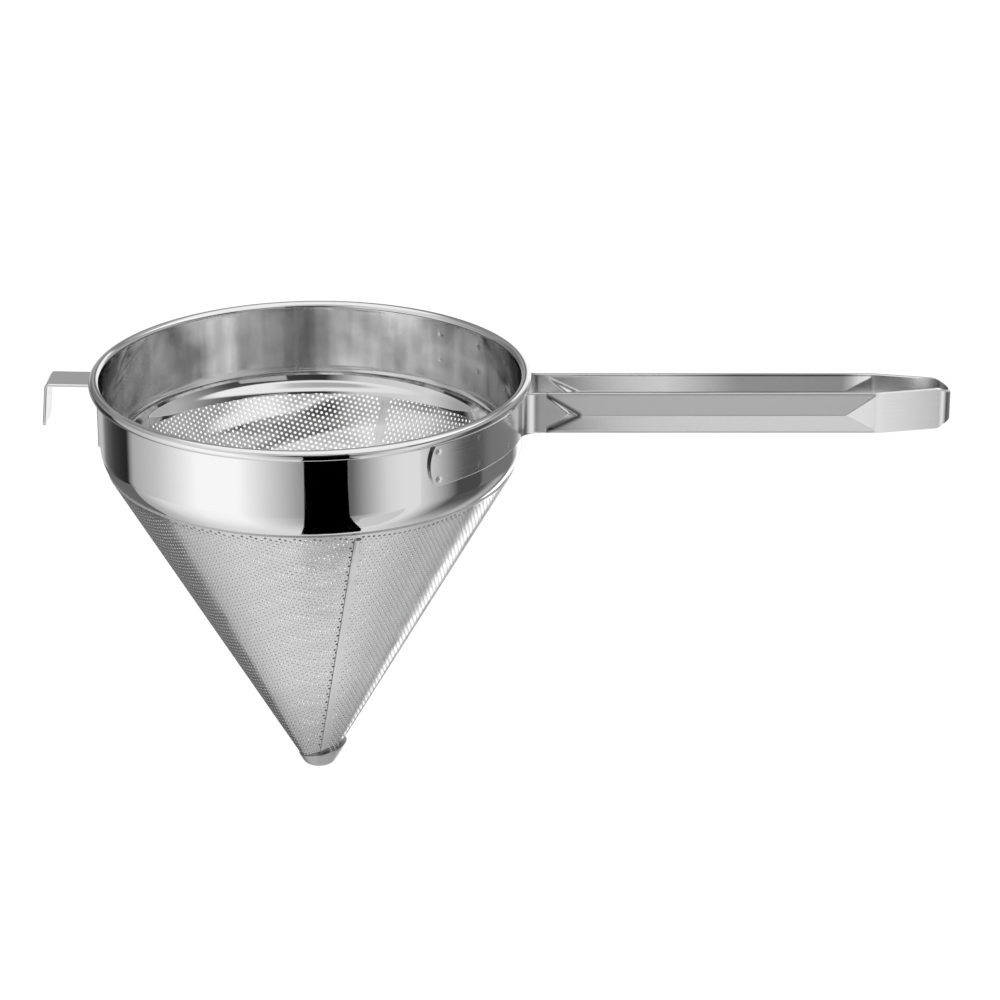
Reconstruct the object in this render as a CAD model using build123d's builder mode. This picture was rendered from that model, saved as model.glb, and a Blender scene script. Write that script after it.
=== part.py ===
from build123d import *
import os
from math import asin, atan2, cos, degrees, hypot, radians, sin, sqrt, tan

# Chinois strainer, millimetres.
# Origin: on the strainer's axis, in the plane through the middle of the rim bead.
# +Z is up out of the mouth, +X runs along the handle.

# Rim band: one polished sheet with a rolled bead on top and a conical lip below
rim_diameter = 203.2
bead_diameter = 5.2
band_sheet = 0.8
curl_gap_angle = 50.0
wire_clearance = 0.3
wall_depth = 29.4
neck_bend_radius = 18.0
lip_length = 4.9

# Perforated cone, in two rolled pieces, from the neck down to the tip
strainer_depth = 195.5
tip_radius = 5.5
cone_sheet = 0.6
lip_lap = 2.8
seam_front_azimuth = -75.0
seam_back_azimuth = 70.0
seam_width = 2.2

# Perforation: the sheet's fine round holes, drawn ten times as coarse
hole_diameter = 1.4
hole_pitch = 2.48
hole_coarseness = 10.0
opening_margin = 2.0
openings_across = 12

# Tip cap
cap_sheet = 0.8
cap_corner_radius = 3.0
cap_height = 7.8
cap_rim_tilt = 15.0

# Handle strap
strap_sheet = 1.5
strap_width = 19.7
strap_bead_gap = 0.2
grip_reach = 195.7
grip_width = 26.4
grip_taper_length = 27.0
grip_nose_radius = 7.4
strap_bend_radius = 9.0
wing_end_azimuth = 55.0
wing_end_bow = 3.0
nose_chamfer_length = 6.5
nose_chamfer_drop = 3.3

# Pressed ribs in the two sides of the grip, clear of its bend and of its taper
rib_bend_gap = 2.6
rib_taper_gap = 0.6
rib_height = 3.0
rib_margin = 1.1
rib_first_facet = 16.0
rib_last_facet = 14.4

# Pot hook
hook_azimuth = 176.8
hook_sheet = 1.2
hook_width = 17.9
hook_reach = 24.6
hook_leg_depth = 20.7
hook_leg_lean = 4.7
hook_tab_depth = 33.8
hook_bend_radius = 1.2

# Spot welds
weld_diameter = 3.0
weld_dimple = 0.25
wing_weld_azimuths = (22.0, 37.5, 52.5)
wing_weld_inset = 3.3
hook_weld_inset = 10.0
hook_weld_pitch = 11.0

# Cuts run past the metal by this much
overrun = 5.0

# Worked out from the sizes above
bead_radius = bead_diameter / 2
bead_centre = rim_diameter / 2 - bead_radius
bead_inner_radius = bead_radius - band_sheet
wall_inner = rim_diameter / 2 - bead_diameter
wall_outer = wall_inner + band_sheet
wall_bottom = -wall_depth
neck_centre_r = wall_outer - neck_bend_radius
neck_inner_radius = neck_bend_radius - band_sheet
strap_top = -bead_radius - strap_bead_gap
strap_bottom = strap_top - strap_width
strap_middle = (strap_top + strap_bottom) / 2
strap_outer = wall_outer + strap_sheet
hook_outer = wall_outer + hook_sheet
hook_top = -bead_radius

# The cone's outer face runs from the tip radius, at the strainer's depth, past the neck bend
tip_to_neck_r = neck_centre_r - tip_radius
tip_to_neck_z = strainer_depth - wall_depth
tip_to_neck = hypot(tip_to_neck_r, tip_to_neck_z)
neck_cone_turn = asin((neck_bend_radius + cone_sheet) / tip_to_neck)
half_angle = atan2(tip_to_neck_r, tip_to_neck_z) + neck_cone_turn
cone_half_angle = degrees(half_angle)
cone_apex_depth = strainer_depth + tip_radius / tan(half_angle)


def polar(radius, azimuth):
    """A point in plan, from its radius and its azimuth in degrees."""
    return (radius * cos(radians(azimuth)), radius * sin(radians(azimuth)))


def on_cone(slant, depth):
    """A point of the half section, from its slant distance to the cone's outer apex
    and its depth under the cone's outer face."""
    r = slant * sin(half_angle) - depth * cos(half_angle)
    z = slant * cos(half_angle) + depth * sin(half_angle) - cone_apex_depth
    return (r, z)


def slant_at(z, depth):
    """The slant distance of the point at height z and this depth."""
    return (z + cone_apex_depth - depth * sin(half_angle)) / cos(half_angle)


def radial_plane(radius, azimuth, z):
    """A plane that faces outward at this place of the band's wall."""
    x, y = polar(radius, azimuth)
    return Plane(origin=(x, y, z), x_dir=(-y, x, 0), z_dir=(x, y, 0))


# The conical lip starts where the neck bend ends, and the cone laps its lower part
neck_end = wall_bottom - neck_bend_radius * sin(half_angle)
lip_end_slant = slant_at(neck_end, cone_sheet) - lip_length
cone_top_slant = lip_end_slant + lip_lap

# Each weld goes through the wall from inside, so its plane lies on the wall's inner face
wing_weld_rows = (strap_top - wing_weld_inset, strap_bottom + wing_weld_inset)
front_weld_planes = [
    radial_plane(wall_inner, -azimuth, z) for azimuth in wing_weld_azimuths for z in wing_weld_rows
]
rear_weld_planes = [
    radial_plane(wall_inner, azimuth, z) for azimuth in wing_weld_azimuths for z in wing_weld_rows
]
hook_weld_rows = (-hook_weld_inset, -hook_weld_inset - hook_weld_pitch)
hook_weld_planes = [radial_plane(wall_inner, hook_azimuth, z) for z in hook_weld_rows]


# Rim band
curl_end_angle = 180.0 + curl_gap_angle
curl_sweep = 360.0 - curl_gap_angle
with BuildPart() as rim_band:
    with BuildSketch(Plane.XZ):
        with BuildLine():
            outer_curl = CenterArc((bead_centre, 0), bead_radius, curl_end_angle, curl_sweep)
            inner_wall = Line(outer_curl @ 1, (wall_inner, wall_bottom))
            inner_neck = CenterArc(
                (neck_centre_r, wall_bottom), neck_inner_radius, 0, -cone_half_angle
            )
            inner_lip = Line(inner_neck @ 1, on_cone(lip_end_slant, cone_sheet + band_sheet))
            lip_edge = Line(inner_lip @ 1, on_cone(lip_end_slant, cone_sheet))
            outer_neck = CenterArc(
                (neck_centre_r, wall_bottom), neck_bend_radius, -cone_half_angle, cone_half_angle
            )
            Line(lip_edge @ 1, outer_neck @ 0)
            Line(outer_neck @ 1, (wall_outer, 0))
            inner_curl = CenterArc((bead_centre, 0), bead_inner_radius, 180, -curl_sweep)
            Line(inner_curl @ 1, outer_curl @ 0)
        make_face()
    revolve(axis=Axis.Z)
    with BuildSketch(*front_weld_planes, *rear_weld_planes, *hook_weld_planes):
        Circle(weld_diameter / 2)
    extrude(amount=band_sheet + overrun, mode=Mode.SUBTRACT)


# Rim wire, sealed in the bead
with BuildPart() as rim_wire:
    with BuildSketch(Plane.XZ):
        with Locations((bead_centre, 0)):
            Circle(bead_inner_radius - wire_clearance)
    revolve(axis=Axis.Z)


# Tip cap: a cup round the cut end of the cone, its rim cut aslant
cap_floor_outer = -strainer_depth
cap_floor_inner = cap_floor_outer + cap_sheet
cap_inner_corner = cap_corner_radius - cap_sheet
cap_rim_middle = cap_floor_outer + cap_height
cap_blank_top = cap_rim_middle + cap_height
with BuildPart() as tip_cap:
    with BuildSketch(Plane.XZ):
        with BuildLine():
            outer_foot = on_cone(slant_at(cap_floor_outer, -cap_sheet), -cap_sheet)
            inner_foot = on_cone(slant_at(cap_floor_inner, 0), 0)
            outer_top = on_cone(slant_at(cap_blank_top, -cap_sheet), -cap_sheet)
            inner_top = on_cone(slant_at(cap_blank_top, 0), 0)
            FilletPolyline(
                (0, cap_floor_outer), outer_foot, outer_top, radius=cap_corner_radius
            )
            Line(outer_top, inner_top)
            FilletPolyline(
                inner_top, inner_foot, (0, cap_floor_inner), radius=cap_inner_corner
            )
            Line((0, cap_floor_inner), (0, cap_floor_outer))
        make_face()
    revolve(axis=Axis.Z)
    rim_cut = Plane(origin=(0, 0, cap_rim_middle)).rotated((0, -cap_rim_tilt, 0))
    split(bisect_by=rim_cut, keep=Keep.BOTTOM)


# Perforated cone: the whole conical shell, down to where the cap's inside corner turns
cap_corner_rise = cap_inner_corner * tan(radians(90.0 - cone_half_angle) / 2) * cos(half_angle)
cone_end_slant = slant_at(cap_floor_inner + cap_corner_rise, 0)
with BuildPart() as cone_shell:
    with BuildSketch(Plane.XZ):
        Polygon(
            on_cone(cone_end_slant, 0),
            on_cone(cone_top_slant, 0),
            on_cone(cone_top_slant, cone_sheet),
            on_cone(cone_end_slant, cone_sheet),
            align=None,
        )
    revolve(axis=Axis.Z)

# Rows of round openings, from below the band's lip to above the cap
opening_radius = hole_diameter * hole_coarseness / 2
opening_pitch = hole_pitch * hole_coarseness
row_pitch = opening_pitch * sin(radians(60.0))
first_row_slant = lip_end_slant - opening_margin - opening_radius
last_row_slant = slant_at(cap_blank_top, 0) + opening_margin + opening_radius
row_count = 1 + int((first_row_slant - last_row_slant) / row_pitch)


def opening_planes(first_seam, last_seam):
    """A plane square to the cone's face for each opening between these two seams."""
    planes = []
    for row in range(row_count):
        slant = first_row_slant - row * row_pitch
        r, z = on_cone(slant, 0)
        row_length = r * radians(last_seam - first_seam)
        count = min(round(row_length / opening_pitch), openings_across)
        step = (last_seam - first_seam) / count
        for place in range(count):
            azimuth = first_seam + (place + 0.5) * step
            x, y = polar(r, azimuth)
            nx, ny = polar(cos(half_angle), azimuth)
            planes.append(Plane(origin=(x, y, z), x_dir=(-y, x, 0), z_dir=(nx, ny, -sin(half_angle))))
    return planes


# Each rolled piece of the cone reaches from one weld strip to the next
cone_floor = Plane.XY.offset(-cone_apex_depth)
cone_plan_radius = rim_diameter / 2
cone_gores = []
for first_seam, last_seam in (
    (seam_front_azimuth, seam_back_azimuth),
    (seam_back_azimuth, seam_front_azimuth + 360.0),
):
    with BuildPart() as cone_gore:
        add(cone_shell.part)
        with BuildSketch(cone_floor):
            with BuildLine():
                Line((0, 0), polar(cone_plan_radius, first_seam))
                rim_side = CenterArc(
                    (0, 0), cone_plan_radius, first_seam, last_seam - first_seam
                )
                Line(rim_side @ 1, (0, 0))
            make_face()
            with Locations(Rotation(0, 0, first_seam), Rotation(0, 0, last_seam)):
                Rectangle(
                    rim_diameter, seam_width, align=(Align.MIN, Align.CENTER), mode=Mode.SUBTRACT
                )
        extrude(amount=cone_apex_depth, mode=Mode.INTERSECT)
        with BuildSketch(*opening_planes(first_seam, last_seam)):
            Circle(opening_radius)
        extrude(amount=-overrun, mode=Mode.SUBTRACT)
    cone_gores.append(cone_gore)
cone_gore_handle_side, cone_gore_hook_side = cone_gores

# The plain weld strips between them are slices of the same shell
seam_welds = []
for seam in (seam_front_azimuth, seam_back_azimuth):
    with BuildPart() as seam_weld:
        add(cone_shell.part)
        with BuildSketch(cone_floor):
            with Locations(Rotation(0, 0, seam)):
                Rectangle(rim_diameter, seam_width, align=(Align.MIN, Align.CENTER))
        extrude(amount=cone_apex_depth, mode=Mode.INTERSECT)
    seam_welds.append(seam_weld)
seam_weld_front, seam_weld_back = seam_welds


# Handle strap: one half's outline in plan is mirrored about the handle's length
grip_half = grip_width / 2
grip_end = strap_outer + grip_reach
grip_nose_centre = grip_end - grip_nose_radius
grip_taper_start = grip_nose_centre - grip_taper_length
bend_y = grip_half + strap_bend_radius
bend_r = strap_outer + strap_bend_radius
bend_x = sqrt(bend_r**2 - bend_y**2)
bend_azimuth = degrees(asin(bend_y / bend_r))
taper_reach = hypot(grip_taper_length, grip_half)
taper_turn = asin(grip_nose_radius / taper_reach)
taper_angle = degrees(atan2(grip_half, grip_taper_length) - taper_turn)
taper_inset = strap_sheet * tan(radians(taper_angle) / 2)
nose_inner_radius = grip_nose_radius - strap_sheet
nose_sweep = 90.0 - taper_angle
wing_end_radius = ((strap_width / 2) ** 2 + wing_end_bow**2) / (2 * wing_end_bow)
rib_start = bend_x + rib_bend_gap
rib_end = grip_taper_start - rib_taper_gap


def rib_roof(base):
    """One pressed rib as a four-sided roof that stands on the plane y = base."""
    with BuildPart() as roof:
        with BuildSketch(Plane.XY.offset(strap_bottom)):
            Polygon(
                (rib_start, base),
                (rib_end, base),
                (rib_end - rib_last_facet, base + rib_height),
                (rib_start + rib_first_facet, base + rib_height),
                align=None,
            )
        extrude(amount=strap_width)
        with BuildSketch(Plane.YZ.offset(rib_start)):
            Polygon(
                (base, strap_top - rib_margin),
                (base, strap_bottom + rib_margin),
                (base + rib_height, strap_middle),
                align=None,
            )
        extrude(amount=rib_end - rib_start, mode=Mode.INTERSECT)
    return roof.part


rib_outside = rib_roof(grip_half)
rib_hollow = rib_roof(grip_half - strap_sheet)

with BuildPart() as handle_strap:
    with BuildSketch(Plane.XY.offset(strap_bottom)):
        with BuildLine():
            wing_outside = CenterArc(
                (0, 0), strap_outer, wing_end_azimuth, bend_azimuth - wing_end_azimuth
            )
            bend_outside = CenterArc(
                (bend_x, bend_y), strap_bend_radius, 180.0 + bend_azimuth, 90.0 - bend_azimuth
            )
            side_outside = Line(bend_outside @ 1, (grip_taper_start, grip_half))
            nose_outside = CenterArc(
                (grip_nose_centre, 0), grip_nose_radius, nose_sweep, -nose_sweep
            )
            Line(side_outside @ 1, nose_outside @ 0)
            nose_inside = CenterArc((grip_nose_centre, 0), nose_inner_radius, 0, nose_sweep)
            Line(nose_outside @ 1, nose_inside @ 0)
            taper_inside = Line(
                nose_inside @ 1, (grip_taper_start - taper_inset, grip_half - strap_sheet)
            )
            bend_inside = CenterArc(
                (bend_x, bend_y), strap_bend_radius + strap_sheet, 270.0, bend_azimuth - 90.0
            )
            Line(taper_inside @ 1, bend_inside @ 0)
            wing_inside = CenterArc(
                (0, 0), wall_outer, bend_azimuth, wing_end_azimuth - bend_azimuth
            )
            Line(wing_inside @ 1, wing_outside @ 0)
        make_face()
        mirror(about=Plane.XZ)
    extrude(amount=strap_width)

    # The pressed ribs stand outward on both sides, and are hollow inside
    add(rib_outside)
    mirror(rib_outside, about=Plane.XZ)
    add(rib_hollow, mode=Mode.SUBTRACT)
    mirror(rib_hollow, about=Plane.XZ, mode=Mode.SUBTRACT)

    # The wings end in a shallow bow
    for side in (1, -1):
        with BuildSketch(radial_plane(wall_inner, side * wing_end_azimuth, strap_middle)):
            with Locations((-side * wing_end_bow, 0)):
                Rectangle(
                    wing_end_bow + overrun,
                    strap_width + overrun,
                    align=(Align.MIN if side > 0 else Align.MAX, Align.CENTER),
                )
            with Locations((-side * wing_end_radius, 0)):
                Circle(wing_end_radius, mode=Mode.SUBTRACT)
        extrude(amount=strap_sheet + overrun, mode=Mode.SUBTRACT)

    # The round end is chamfered above and below, as seen from the side
    with BuildSketch(Plane.XZ):
        for edge, inward in ((strap_top, -1), (strap_bottom, 1)):
            with BuildLine():
                Polyline(
                    (grip_end - nose_chamfer_length, edge),
                    (grip_end, edge + inward * nose_chamfer_drop),
                    (grip_end + overrun, edge + inward * nose_chamfer_drop),
                    (grip_end + overrun, edge - inward * overrun),
                    (grip_end - nose_chamfer_length, edge - inward * overrun),
                    close=True,
                )
            make_face()
    extrude(amount=grip_half, both=True, mode=Mode.SUBTRACT)

    with BuildSketch(*front_weld_planes, *rear_weld_planes):
        Circle(weld_diameter / 2)
    extrude(amount=band_sheet + strap_sheet + overrun, mode=Mode.SUBTRACT)


# Pot hook: a tab on the wall, a plate under the bead and a leg that leans out
lean = radians(hook_leg_lean)
plate_bottom = hook_top - hook_sheet
leg_outer = wall_outer + hook_reach
leg_inner = leg_outer - hook_sheet * (1 - sin(lean)) / cos(lean)
leg_end = leg_outer + hook_leg_depth * tan(lean)
leg_bottom = hook_top - hook_leg_depth
with BuildPart() as pot_hook:
    with BuildSketch(Plane.XY.offset(-hook_tab_depth)):
        Circle(hook_outer)
        with Locations(Rotation(0, 0, hook_azimuth)):
            Rectangle(
                rim_diameter, hook_width, align=(Align.MIN, Align.CENTER), mode=Mode.INTERSECT
            )
    extrude(amount=hook_tab_depth + hook_top)
    with BuildSketch(Plane.XZ.rotated((0, 0, hook_azimuth))):
        with BuildLine():
            plate_top_line = FilletPolyline(
                (wall_inner, hook_top),
                (leg_outer, hook_top),
                (leg_end, leg_bottom),
                radius=hook_bend_radius + hook_sheet,
            )
            leg_foot = Line(
                plate_top_line @ 1,
                (leg_end - hook_sheet * cos(lean), leg_bottom - hook_sheet * sin(lean)),
            )
            plate_bottom_line = FilletPolyline(
                leg_foot @ 1,
                (leg_inner, plate_bottom),
                (wall_inner, plate_bottom),
                radius=hook_bend_radius,
            )
            Line(plate_bottom_line @ 1, plate_top_line @ 0)
        make_face()
    extrude(amount=hook_width / 2, both=True)
    with BuildSketch(Plane.XY.offset(-hook_tab_depth)):
        Circle(wall_outer)
    extrude(amount=hook_tab_depth, mode=Mode.SUBTRACT)
    long_arcs = pot_hook.edges().filter_by(GeomType.CIRCLE)
    long_arcs = long_arcs.filter_by(lambda edge: edge.radius > hook_width).group_by(Axis.Z)
    under_plate = long_arcs[1]
    over_plate = long_arcs[-1]
    fillet(under_plate, hook_bend_radius)
    fillet(over_plate, hook_bend_radius + hook_sheet)
    with BuildSketch(*hook_weld_planes):
        Circle(weld_diameter / 2)
    extrude(amount=band_sheet + hook_sheet + overrun, mode=Mode.SUBTRACT)


# Spot weld nuggets fill the holes through both sheets, a little below each face
def weld_nuggets(planes, outer_sheet):
    """The nuggets that join this outer sheet to the band's wall."""
    with BuildPart() as nuggets:
        with BuildSketch(*[plane.offset(weld_dimple) for plane in planes]):
            Circle(weld_diameter / 2)
        extrude(amount=band_sheet + outer_sheet - 2 * weld_dimple)
    return nuggets


handle_welds_front = weld_nuggets(front_weld_planes, strap_sheet)
handle_welds_rear = weld_nuggets(rear_weld_planes, strap_sheet)
hook_welds = weld_nuggets(hook_weld_planes, hook_sheet)


os.makedirs("parts", exist_ok=True)
pieces = {
    "rim_band": rim_band,
    "rim_wire": rim_wire,
    "cone_gore_handle_side": cone_gore_handle_side,
    "cone_gore_hook_side": cone_gore_hook_side,
    "seam_weld_front": seam_weld_front,
    "seam_weld_back": seam_weld_back,
    "tip_cap": tip_cap,
    "handle_strap": handle_strap,
    "pot_hook": pot_hook,
    "handle_welds_front": handle_welds_front,
    "handle_welds_rear": handle_welds_rear,
    "hook_welds": hook_welds,
}
for name, piece in pieces.items():
    piece.part.label = name
    export_step(piece.part, f"parts/{name}.step")
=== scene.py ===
from functools import partial
from math import asin, atan2, cos, degrees, hypot, pi, radians, sin, sqrt, tan

import bpy
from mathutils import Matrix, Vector


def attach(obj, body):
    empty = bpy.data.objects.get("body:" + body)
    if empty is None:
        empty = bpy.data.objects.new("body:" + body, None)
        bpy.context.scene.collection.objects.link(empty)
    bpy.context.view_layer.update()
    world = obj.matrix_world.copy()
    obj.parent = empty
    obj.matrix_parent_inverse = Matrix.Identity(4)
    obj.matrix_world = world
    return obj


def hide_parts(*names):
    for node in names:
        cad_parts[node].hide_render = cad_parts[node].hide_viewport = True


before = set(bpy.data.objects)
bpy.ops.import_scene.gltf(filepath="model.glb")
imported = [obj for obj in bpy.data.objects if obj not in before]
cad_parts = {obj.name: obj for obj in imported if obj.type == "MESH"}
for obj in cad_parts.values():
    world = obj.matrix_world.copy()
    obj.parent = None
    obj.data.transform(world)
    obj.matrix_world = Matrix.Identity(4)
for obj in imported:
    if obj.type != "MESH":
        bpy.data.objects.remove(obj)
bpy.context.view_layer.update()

# Chinois strainer. Sizes are in millimetres, and a size times MM is in metres.
# +Z is up out of the mouth, +X runs along the handle, the origin is in the rim's plane.
MM = 0.001

# Rim band
rim_diameter = 203.2
bead_diameter = 5.2
band_sheet = 0.8
curl_gap_angle = 55.0
curl_slot = 0.3
curl_slot_top = 1.3
wall_depth = 29.4
neck_bend_radius = 18.0
lip_length = 4.9

# Perforated cone
strainer_depth = 195.5
tip_radius = 5.5
cone_sheet = 0.6
lip_lap = 2.8
seam_front_azimuth = -75.0
seam_back_azimuth = 70.0
seam_width = 2.2
hole_pitch = 2.48
hole_diameter = 1.4
plain_margin = 0.3
swell_slope = 0.2
swell_foot = -61.0
swell_head = -43.5
swell_rise = 3.2
tip_darkening_start = -135.0
tip_darkening_end = -180.0

# Seam welds
seam_crown = 0.06
tack_length = 1.5
tack_width = 0.9
tack_height = 0.55
tack_across = 0.6
tack_under_lip = 0.4
tack_lift = 0.1
# The corners of the front seam's dark root and of its thin line, a line of painted shade that stands for the
# weld's undercut groove: how far each lies from the strip's edge, plus towards the strip's middle, and how
# deep
root_corners = ((-1.3, 0.4), (0.2, 0.3), (0.2, 0.75), (-1.3, 0.7))
undercut_shade_corners = ((-0.25, -0.04), (-0.25, 0.3), (0.15, 0.3), (0.15, -0.07))

# Tip cap
cap_sheet = 0.8
cap_corner_radius = 3.0
cap_height = 7.8
cap_rim_tilt = 15.0
cap_loose_left = 0.5
cap_loose_right = 1.9
cap_rim_lean = 0.12
cap_lap = 0.05

# Handle strap
strap_sheet = 1.5
strap_width = 19.7
strap_bead_gap = 0.2
grip_reach = 195.7
grip_width = 26.4
grip_taper_length = 27.0
grip_nose_radius = 7.4
strap_bend_radius = 9.0
taper_bend_radius = 22.0
wing_end_azimuth = 55.0
wing_end_bow = 3.0
wing_bow_length = 16.0
nose_chamfer_length = 6.5
nose_chamfer_drop = 3.3
rib_bend_gap = 2.6
rib_taper_gap = 0.6
rib_height = 3.0
rib_margin = 1.1
rib_first_facet = 16.0
rib_last_facet = 14.4
rib_flat_share = 0.6
rib_crease_along = 0.4
rib_crease_across = 0.2
rib_overrun = 2.0
strip_edge_round = 0.3

# Pot hook
hook_azimuth = 176.8
hook_sheet = 1.2
hook_width = 17.9
hook_reach = 24.6
hook_leg_depth = 20.7
hook_leg_lean = 4.7
hook_tab_depth = 33.8
hook_bend_radius = 1.2
hook_corner_radius = 1.5

# Spot welds
weld_diameter = 3.0
weld_dome = 0.07
dish_diameter = 3.9
dish_depth = 0.2
wing_weld_azimuths = (22.0, 37.5, 52.5)
wing_weld_inset = 3.3
hook_weld_rows = (-10.0, -21.0)

# Worked out from the sizes above
bead_radius = bead_diameter / 2
bead_centre = rim_diameter / 2 - bead_radius
wall_inner = rim_diameter / 2 - bead_diameter
wall_outer = wall_inner + band_sheet
neck_centre = wall_outer - neck_bend_radius
strap_top = -bead_radius - strap_bead_gap
strap_bottom = strap_top - strap_width
strap_middle = (strap_top + strap_bottom) / 2
strap_outer = wall_outer + strap_sheet
tip_to_neck = hypot(neck_centre - tip_radius, strainer_depth - wall_depth)
half_angle = (
    atan2(neck_centre - tip_radius, strainer_depth - wall_depth)
    + asin((neck_bend_radius + cone_sheet) / tip_to_neck)
)
apex_depth = strainer_depth + tip_radius / tan(half_angle)
neck_end = -wall_depth - neck_bend_radius * sin(half_angle)
lip_end_slant = (neck_end + apex_depth - cone_sheet * sin(half_angle)) / cos(half_angle) - lip_length
cone_top_slant = lip_end_slant + lip_lap
cap_floor = -strainer_depth + cap_sheet
cap_corner_rise = (cap_corner_radius - cap_sheet) * tan((pi / 2 - half_angle) / 2) * cos(half_angle)
cone_end_slant = (cap_floor + cap_corner_rise + apex_depth) / cos(half_angle)
grip_half = grip_width / 2
bend_y = grip_half + strap_bend_radius
bend_r = strap_outer + strap_bend_radius
bend_azimuth = degrees(asin(bend_y / bend_r))
rib_reach = strap_width / 2 - rib_margin
rib_travel = (
    radians(wing_end_azimuth - bend_azimuth) * strap_outer
    + radians(90 - bend_azimuth) * strap_bend_radius + rib_bend_gap
)

# Spot welds by azimuth and height, on the far wing, the near wing and the hook
wing_weld_rows = (strap_top - wing_weld_inset, strap_bottom + wing_weld_inset)
rear_welds = [(azimuth, row) for azimuth in wing_weld_azimuths for row in wing_weld_rows]
front_welds = [(-azimuth, row) for azimuth, row in rear_welds]
hook_welds = [(hook_azimuth, row) for row in hook_weld_rows]


def hex_colour(code):
    """The linear colour of an sRGB hex code."""
    channels = []
    for start in (0, 2, 4):
        value = int(code[start:start + 2], 16) / 255
        channels.append(value / 12.92 if value <= 0.04045 else ((value + 0.055) / 1.055) ** 2.4)
    return (*channels, 1.0)


def smooth(edge0, edge1, value):
    """Zero before edge0, one past edge1, and an even ease between them."""
    share = min(max((value - edge0) / (edge1 - edge0), 0.0), 1.0)
    return share * share * (3 - 2 * share)


def add_node(tree, kind, *values, **settings):
    """Add one node with its settings. A shader node's kind is given without ShaderNode. The
    values fill its sockets, in order or, from one dict, by name. A socket among them is
    linked, and a node by its first output."""
    node = tree.nodes.new(kind if kind.startswith(("Geometry", "NodeGroup")) else "ShaderNode" + kind)
    for setting, value in settings.items():
        setattr(node, setting, value)
    named = values[0] if values and isinstance(values[0], dict) else dict(enumerate(values))
    for socket, value in named.items():
        if isinstance(value, bpy.types.Node):
            value = value.outputs[0]
        if isinstance(value, bpy.types.NodeSocket):
            tree.links.new(value, node.inputs[socket])
        else:
            node.inputs[socket].default_value = value
    return node


def set_stops(ramp, stops):
    """Give a colour ramp these stops, each a place from 0 to 1 and its colour."""
    elements = ramp.color_ramp.elements
    for index, (place, colour) in enumerate(stops):
        stop = elements[index] if index < 2 else elements.new(place)
        stop.position = place
        stop.color = colour


# Materials

# A pattern's scale is how often it repeats in a metre, so 28 is a roll 36 mm long. A map
# range's values are what it reads, the two ends that it reads and the two that it gives


def new_material(name):
    """A material with an empty tree, and what adds a node to it."""
    material = bpy.data.materials.new(name)
    material.use_nodes = True
    material.node_tree.nodes.clear()
    return material, partial(add_node, material.node_tree)


def steel(name, colour, roughness, finish):
    """Bare metal of one colour and roughness, with the patterns that its finish lays on."""
    material, add = new_material(name)
    shader = add("BsdfPrincipled", {
        "Base Color": hex_colour(colour), "Metallic": 1.0, "Roughness": roughness,
    })
    add("OutputMaterial", {"Surface": shader})
    for socket, pattern in finish(add).items():
        material.node_tree.links.new(pattern, shader.inputs[socket])
    return material


def buffed_mirror(add):
    """Spun sheet, buffed to a mirror: sharp reflections with a slight roll, 36 mm long, and
    faint smudges of 17 mm."""
    place = add("TexCoord").outputs["Object"]
    roll = add("TexNoise", {"Vector": place, "Scale": 28.0, "Detail": 1.0})
    smudge = add("TexNoise", {"Vector": place, "Scale": 60.0, "Detail": 4.0})
    haze = add("MapRange", smudge, 0.35, 0.75, 0.02, 0.07)
    sway = add("Bump", {"Height": roll, "Strength": 0.25, "Distance": 0.2 * MM})
    return {"Roughness": haze.outputs[0], "Normal": sway.outputs[0]}


def ground_inside(add):
    """The band's inside, ground and not buffed: soft clouds of 22 mm, and upright streaks
    about 8 mm apart."""
    place = add("TexCoord").outputs["Object"]
    cloud = add("TexNoise", {"Vector": place, "Scale": 45.0, "Detail": 3.0})
    upright = add("Mapping", {"Vector": place, "Scale": (120.0, 120.0, 8.0)})
    streak = add("TexNoise", {"Vector": upright, "Scale": 1.0, "Detail": 2.0})
    ground = add("Math", cloud, streak, operation="ADD")
    shine = add("MapRange", ground, 0.7, 1.3)
    tint = add("Mix", {0: shine, 6: hex_colour("C0C0C0"), 7: hex_colour("FFFFFF")}, data_type="RGBA")
    dull = add("MapRange", cloud, 0.35, 0.7, 0.07, 0.16)
    return {"Base Color": tint.outputs[2], "Roughness": dull.outputs[0]}


def rolled_perforated(add):
    """Perforated sheet as rolled: a fine grey sheen, uneven in patches of 11 mm, and a colour that turns
    darker towards the tip. Rolling leaves ripples 22 mm apart and 71 mm long, which show most on the hollow
    inside, and the hollow's head has one broad swell."""
    place = add("TexCoord").outputs["Object"]
    patch = add("TexNoise", {"Vector": place, "Scale": 90.0, "Detail": 3.0})
    sheen = add("MapRange", patch, 0.3, 0.7, 0.12, 0.22)
    # The colour turns darker towards the tip, from D4D4D4 to A8A8A8
    deep = add("SeparateXYZ", place).outputs["Z"]
    dull = add("MapRange", deep, tip_darkening_start * MM, tip_darkening_end * MM)
    tint = add("Mix", {0: dull, 6: hex_colour("D4D4D4"), 7: hex_colour("A8A8A8")}, data_type="RGBA")
    facing = add("NewGeometry").outputs["True Normal"]
    facing = add("SeparateXYZ", facing).outputs["Z"]
    ring = add("Mapping", {"Vector": place, "Scale": (14.0, 14.0, 45.0)})
    wave = add("TexNoise", {"Vector": ring, "Scale": 1.0, "Detail": 1.0})
    climb = add("VectorMath", place, (-swell_slope, 0.0, 1.0), operation="DOT_PRODUCT").outputs["Value"]
    swell = add("MapRange", climb, swell_foot * MM, swell_head * MM, interpolation_type="SMOOTHSTEP")
    relief = None
    for height, outside_strength, rise in ((wave, 0.12, 3.0), (swell, 0.0, swell_rise)):
        strength = add("MapRange", facing, -0.1, 0.1, outside_strength, 1.0)
        bump = {"Height": height, "Strength": strength, "Distance": rise * MM}
        if relief:
            bump["Normal"] = relief
        relief = add("Bump", bump)
    return {"Base Color": tint.outputs[2], "Roughness": sheen.outputs[0], "Normal": relief.outputs[0]}


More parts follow.
